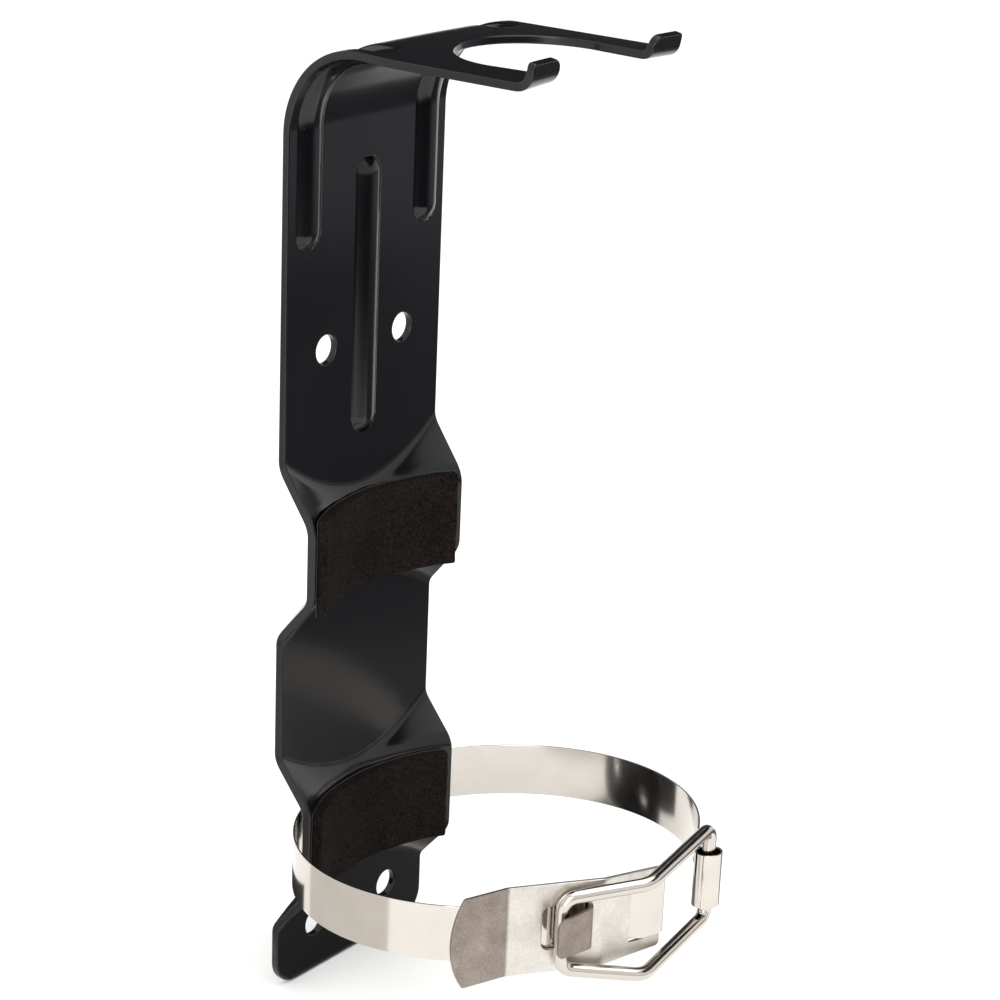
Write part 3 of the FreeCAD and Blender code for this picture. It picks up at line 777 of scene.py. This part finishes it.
def tumbledStainless():
    # stamping tumbled to knock off burrs: dull, faintly pitted, with short scratches. The grip and
    # hook tab carry a darker copy of its colour, painted shade standing in for their darker
    # reflection; the lever body carries a lighter copy
    material, tree, shader = newMaterial("tumbledStainlessStamping")
    place = addNode(tree, "ShaderNodeTexCoord")
    where = place.outputs["Object"]
    grain = addNode(
        tree, "ShaderNodeTexNoise", {"Vector": where},
        {"Scale": 1000 / tumbled["grain"], "Detail": 3.0, "Roughness": 0.6})
    cloud = addNode(
        tree, "ShaderNodeTexNoise", {"Vector": where},
        {"Scale": 140.0, "Detail": 4.0, "Roughness": 0.6})
    spot = addNode(tree, "ShaderNodeUVMap", uv_map="sheetPlace")
    scratchPlace = addNode(
        tree, "ShaderNodeMapping", {"Vector": spot.outputs[0]},
        {"Scale": (90.0, 2600.0, 1.0), "Rotation": (0.0, 0.0, 0.35)})
    scratch = addNode(
        tree, "ShaderNodeTexNoise", {"Vector": scratchPlace.outputs[0]},
        {"Scale": 1.0, "Detail": 2.0})
    scratchMask = addNode(
        tree, "ShaderNodeMapRange", {"Value": scratch.outputs["Fac"]},
        {"From Min": 0.66, "From Max": 0.72, "To Min": 0.0, "To Max": 1.0})
    mottle = addNode(
        tree, "ShaderNodeTexNoise", {"Vector": where},
        {"Scale": 1300.0, "Detail": 2.0, "Roughness": 0.7})
    share = addNode(
        tree, "ShaderNodeMath", {0: cloud.outputs["Fac"], 1: mottle.outputs["Fac"]},
        operation="ADD")
    patch = addNode(
        tree, "ShaderNodeMapRange", {"Value": share.outputs[0]}, {"From Min": 0.7, "From Max": 1.3})
    along = addNode(tree, "ShaderNodeSeparateXYZ", {"Vector": spot.outputs[0]})
    # painted shade: splits the running length at the grip's bend, darker colour before it (grip and
    # hook tab), lighter colour after it (lever body)
    body = addNode(
        tree, "ShaderNodeMapRange", {"Value": along.outputs["X"]},
        {"From Min": (lever["gripLength"] - 0.6) / 1000,
            "From Max": (lever["gripLength"] + 0.6) / 1000})
    shadedGripTone = addNode(
        tree, "ShaderNodeMix", {"Factor": patch.outputs[0]},
        {"A": linear(tumbled["shadedGripTone"]), "B": linear(tumbled["shadedGripMottle"])}, data_type="RGBA")
    litBodyTone = addNode(
        tree, "ShaderNodeMix", {"Factor": patch.outputs[0]},
        {"A": linear(tumbled["litBodyTone"]), "B": linear(tumbled["litBodyMottle"])}, data_type="RGBA")
    tint = addNode(
        tree, "ShaderNodeMix",
        {"Factor": body.outputs[0], "A": shadedGripTone.outputs["Result"], "B": litBodyTone.outputs["Result"]},
        data_type="RGBA")
    connect(tree, shader, "Base Color", tint.outputs["Result"])
    gloss = addNode(
        tree, "ShaderNodeMapRange", {"Value": cloud.outputs["Fac"]},
        {"From Min": 0.3, "From Max": 0.7, "To Min": tumbled["roughness"] - 0.05,
            "To Max": tumbled["roughness"] + 0.07})
    connect(tree, shader, "Roughness", gloss.outputs[0])
    pits = addNode(
        tree, "ShaderNodeBump", {"Height": grain.outputs["Fac"]},
        {"Strength": 0.35, "Distance": 0.00003})
    scratches = addNode(
        tree, "ShaderNodeBump", {"Height": scratchMask.outputs[0], "Normal": pits.outputs[0]},
        {"Strength": 0.3, "Distance": 0.00002}, invert=True)
    connect(tree, shader, "Normal", scratches.outputs[0])
    shader.inputs["Metallic"].default_value = 1.0
    return material


drawn = {
    "colour": "#d8d3cd", "shade": "#bdb4aa", "roughness": 0.1, "lineGap": 0.3, "lineLength": 14.0}


def drawnStainless():
    # stainless wire pulled through a die: bright, with fine lines along its length
    material, tree, shader = newMaterial("drawnStainlessWire")
    place = addNode(tree, "ShaderNodeUVMap", uv_map="sheetPlace")
    lines = addNode(
        tree, "ShaderNodeMapping", {"Vector": place.outputs[0]},
        {"Scale": (1000 / drawn["lineLength"], 1000 / drawn["lineGap"], 1.0)})
    grain = addNode(
        tree, "ShaderNodeTexNoise", {"Vector": lines.outputs[0]}, {"Scale": 1.0, "Detail": 3.0})
    tint = addNode(
        tree, "ShaderNodeMix", {"Factor": grain.outputs["Fac"]},
        {"A": linear(drawn["colour"]), "B": linear(drawn["shade"])}, data_type="RGBA")
    connect(tree, shader, "Base Color", tint.outputs["Result"])
    gloss = addNode(
        tree, "ShaderNodeMapRange", {"Value": grain.outputs["Fac"]},
        {"From Min": 0.3, "From Max": 0.7, "To Min": drawn["roughness"] - 0.04,
            "To Max": drawn["roughness"] + 0.08})
    connect(tree, shader, "Roughness", gloss.outputs[0])
    bump = addNode(
        tree, "ShaderNodeBump", {"Height": grain.outputs["Fac"]},
        {"Strength": 0.2, "Distance": 0.00002})
    connect(tree, shader, "Normal", bump.outputs[0])
    shader.inputs["Metallic"].default_value = 1.0
    return material


foam = {"colour": "#040303", "shade": "#211a16", "cell": 0.45, "roughness": 0.95}


def neopreneFoam():
    # closed-cell neoprene foam, skived: dull, brown-black, open pores all over
    material, tree, shader = newMaterial("neopreneFoam")
    place = addNode(tree, "ShaderNodeTexCoord")
    where = place.outputs["Object"]
    cells = addNode(
        tree, "ShaderNodeTexVoronoi", {"Vector": where},
        {"Scale": 1000 / foam["cell"], "Randomness": 1.0})
    crumb = addNode(
        tree, "ShaderNodeTexNoise", {"Vector": where},
        {"Scale": 1000 / 0.9, "Detail": 3.0, "Roughness": 0.7})
    cloud = addNode(tree, "ShaderNodeTexNoise", {"Vector": where}, {"Scale": 45.0, "Detail": 2.0})
    share = addNode(
        tree, "ShaderNodeMath", {0: cloud.outputs["Fac"], 2: crumb.outputs["Fac"]}, {1: 0.25},
        operation="MULTIPLY_ADD")
    mask = addNode(
        tree, "ShaderNodeMapRange", {"Value": share.outputs[0]},
        {"From Min": 0.5, "From Max": 0.78})
    tint = addNode(
        tree, "ShaderNodeMix", {"Factor": mask.outputs[0]},
        {"A": linear(foam["colour"]), "B": linear(foam["shade"])}, data_type="RGBA")
    connect(tree, shader, "Base Color", tint.outputs["Result"])
    pores = addNode(
        tree, "ShaderNodeBump", {"Height": cells.outputs["Distance"]},
        {"Strength": 0.8, "Distance": 0.00025})
    rough = addNode(
        tree, "ShaderNodeBump", {"Height": crumb.outputs["Fac"], "Normal": pores.outputs[0]},
        {"Strength": 0.6, "Distance": 0.0003})
    connect(tree, shader, "Normal", rough.outputs[0])
    shader.inputs["Roughness"].default_value = foam["roughness"]
    shader.inputs["Specular IOR Level"].default_value = 0.12
    return material


filmTape = {"colour": "#2b2724", "shade": "#3a342f"}


def acrylicFilm():
    # acrylic transfer adhesive: thin, smoky, slightly wet looking at its cut edge
    material, tree, shader = newMaterial("acrylicAdhesiveFilm")
    place = addNode(tree, "ShaderNodeTexCoord")
    cloud = addNode(
        tree, "ShaderNodeTexNoise", {"Vector": place.outputs["Object"]},
        {"Scale": 400.0, "Detail": 2.0})
    tint = addNode(
        tree, "ShaderNodeMix", {"Factor": cloud.outputs["Fac"]},
        {"A": linear(filmTape["colour"]), "B": linear(filmTape["shade"])}, data_type="RGBA")
    connect(tree, shader, "Base Color", tint.outputs["Result"])
    gloss = addNode(
        tree, "ShaderNodeMapRange", {"Value": cloud.outputs["Fac"]}, {"To Min": 0.3, "To Max": 0.5})
    connect(tree, shader, "Roughness", gloss.outputs[0])
    return material


paper = {"colour": "#f4f4f3", "shade": "#f7f7f6", "halfSize": 8.0}


def paleFloor():
    # matt studio paper
    material, tree, shader = newMaterial("paleStudioPaper")
    place = addNode(tree, "ShaderNodeTexCoord")
    cloud = addNode(
        tree, "ShaderNodeTexNoise", {"Vector": place.outputs["Object"]},
        {"Scale": 3.0, "Detail": 2.0})
    tint = addNode(
        tree, "ShaderNodeMix", {"Factor": cloud.outputs["Fac"]},
        {"A": linear(paper["colour"]), "B": linear(paper["shade"])}, data_type="RGBA")
    connect(tree, shader, "Base Color", tint.outputs["Result"])
    shader.inputs["Roughness"].default_value = 0.9
    shader.inputs["Specular IOR Level"].default_value = 0.1
    return material


def finish(piece, material, body, slot, *nodes):
    piece.data.materials.append(material)
    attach(piece, body)
    if nodes:
        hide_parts(*nodes)


paint = powderCoatedSteel()
strip = rolledStainless()
stamping = tumbledStainless()
wire = drawnStainless()
padFoam = neopreneFoam()
film = acrylicFilm()
print("materials made")

finish(makePlate(), paint, "bracket", "painted_sheet", "back_plate")
print("plate made")

for key in ("upper", "lower"):
    pad = padPiece(
        key + "FoamPad", pads[key], pads["front"], pads["back"], pads["edgeRound"], 0.0, 1.0, 0.1)
    finish(pad, padFoam, "bracket", "pad_foam", key + "_pad")
    glue = padPiece(
        key + "AdhesiveFilm", pads[key], pads["back"], pads["filmBack"], 0.08, 0.25, 1.5, 0.12)
    finish(glue, film, "bracket", "adhesive_film", key + "_pad_adhesive")
print("pads made")

finish(makeBand(), strip, "bracket", "bright_strip", "strap_band")
finish(makeLever(), stamping, "lever", "brushed_stamping", "latch_lever")
finish(makeHookTab(), stamping, "lever", "brushed_stamping")
finish(makeBail(), wire, "bail", "bright_wire", "bail_wire")
print("strap and latch made")


lights = {
    "overheadSoftbox": {
        "place": (0.2, -0.6, 2.2), "target": (0, 0, 0), "size": (2.4, 2.4), "power": 30.0},
    "leftSoftbox": {
        "place": (-1.9, -0.9, 0.9), "target": (0, 0, 0.05), "size": (0.9, 1.8), "power": 22.0},
}


def studioLight(name, place, target, size, power):
    lamp = bpy.data.lights.new(name, "AREA")
    lamp.shape = "RECTANGLE"
    lamp.size, lamp.size_y = size
    lamp.energy = power
    holder = bpy.data.objects.new(name, lamp)
    holder.location = place
    holder.rotation_euler = (Vector(target) - Vector(place)).to_track_quat("-Z", "Y").to_euler()
    bpy.context.scene.collection.objects.link(holder)


def makeFloor():
    size = paper["halfSize"]
    level = cadBox[0][2] - 0.0005
    mesh = bpy.data.meshes.new("studioFloor")
    mesh.from_pydata(
        [(-size, -size, level), (size, -size, level), (size, size, level), (-size, size, level)],
        [], [(0, 1, 2, 3)])
    floor = bpy.data.objects.new("studioFloor", mesh)
    bpy.context.scene.collection.objects.link(floor)
    mesh.materials.append(paleFloor())


cards = {  # cloths and boards round the set, seen only by gloss: what paint and steel mirror
    "footCloth": {
        "tint": "#7f7d7b",
        "corners": [(-0.03, -0.004, 0.0), (0.045, -0.004, 0.0), (0.12, -0.03, 0.0), (0.34, 0.06,
            0.0), (0.36, -0.13, 0.0), (0.16, -0.19, 0.0), (0.03, -0.08, 0.0), (-0.03, -0.04, 0.0)]},
    "leftCloth": {
        "tint": "#161518",
        "corners": [(0.3, -0.6, 0.0), (-0.3, -0.68, 0.0), (-2.2, -1.3, 0.0), (-2.2, -3.2, 0.0),
            (1.1, -3.2, 0.0)]},
    "nearCloth": {
        "tint": "#5d5b5f",
        "corners": [(0.16, -0.19, 0.0), (0.26, -0.36, 0.0), (0.3, -0.6, 0.0), (1.1, -3.2, 0.0),
            (3.2, -3.2, 0.0), (3.2, -0.75, 0.0), (0.36, -0.13, 0.0)]},
    "middleCloth": {
        "tint": "#a9a9ae",
        "corners": [(0.62, -0.86, 0.001), (1.05, -1.6, 0.001), (1.9, -0.7, 0.001), (0.95, -0.47,
            0.001)]},
    "frontBoard": {
        "tint": "#161518",
        "corners": [(0.6, -2.0, 0.95), (2.1, 0.1, 0.95), (2.1, 0.1, 2.8), (0.6, -2.0, 2.8)]},
    "backBoard": {
        "tint": "#2f2f31",
        "corners": [(1.9, -0.2, 0.32), (0.55, 1.45, 0.32), (0.55, 1.45, 1.9), (1.9, -0.2, 1.9)]},
    "sideCard": {
        "tint": "#c9c7c3",
        "corners": [(-0.08, -0.066, 0.001), (-0.06, 0.01, 0.001), (-0.06, 0.9, 0.001), (-0.9,
            0.9, 0.001), (-0.9, 0.282, 0.001)]},
    "wallCard": {
        "tint": "#3c3a38",
        "corners": [(-0.05, 0.02, 0.004), (0.06, 0.02, 0.004), (0.06, 0.02, 0.03), (-0.05, 0.02,
            0.03)]},
}


def makeCards():
    for name, card in cards.items():
        mesh = bpy.data.meshes.new(name)
        mesh.from_pydata(
            [(x, y, cadBox[0][2] + z) for x, y, z in card["corners"]], [],
            [tuple(range(len(card["corners"])))])
        cloth = bpy.data.objects.new(name, mesh)
        bpy.context.scene.collection.objects.link(cloth)
        material, _, shader = newMaterial(name)
        shader.inputs["Base Color"].default_value = linear(card["tint"])
        shader.inputs["Roughness"].default_value = 0.95
        shader.inputs["Specular IOR Level"].default_value = 0.1
        mesh.materials.append(material)
        cloth.visible_camera = False
        cloth.visible_diffuse = False
        cloth.visible_shadow = False
        cloth.visible_transmission = False


camera = {
    "place": (-638.0, -534.5, 344.2),
    "azimuth": -53.328,
    "elevation": 19.626,
    "roll": 2.466,
    "lens": 96.73,
}


def makeCamera():
    azimuth, elevation, roll = (math.radians(camera[k]) for k in ("azimuth", "elevation", "roll"))
    back = Vector((math.sin(azimuth) * math.cos(elevation),
                   -math.cos(azimuth) * math.cos(elevation), math.sin(elevation)))
    level = Vector((math.cos(azimuth), math.sin(azimuth), 0.0))
    upright = back.cross(level)
    right = level * math.cos(roll) + upright * math.sin(roll)
    up = upright * math.cos(roll) - level * math.sin(roll)
    lens = bpy.data.cameras.new("studioCamera")
    lens.lens = camera["lens"]
    lens.sensor_width = 36.0
    lens.clip_end = 100.0
    holder = bpy.data.objects.new("studioCamera", lens)
    turned = Matrix((right, up, back)).transposed().to_4x4()
    holder.matrix_world = Matrix.Translation(Vector(camera["place"]) * 0.001) @ turned
    bpy.context.scene.collection.objects.link(holder)
    bpy.context.scene.camera = holder


makeFloor()
makeCards()
makeCamera()
world = bpy.data.worlds.new("paleStudio")
world.use_nodes = True
world.node_tree.nodes["Background"].inputs["Color"].default_value = linear("#ffffff")
world.node_tree.nodes["Background"].inputs["Strength"].default_value = 1.0
bpy.context.scene.world = world
for name, light in lights.items():
    studioLight(name, **light)
bpy.context.scene.view_settings.view_transform = "Standard"
print("studio made")
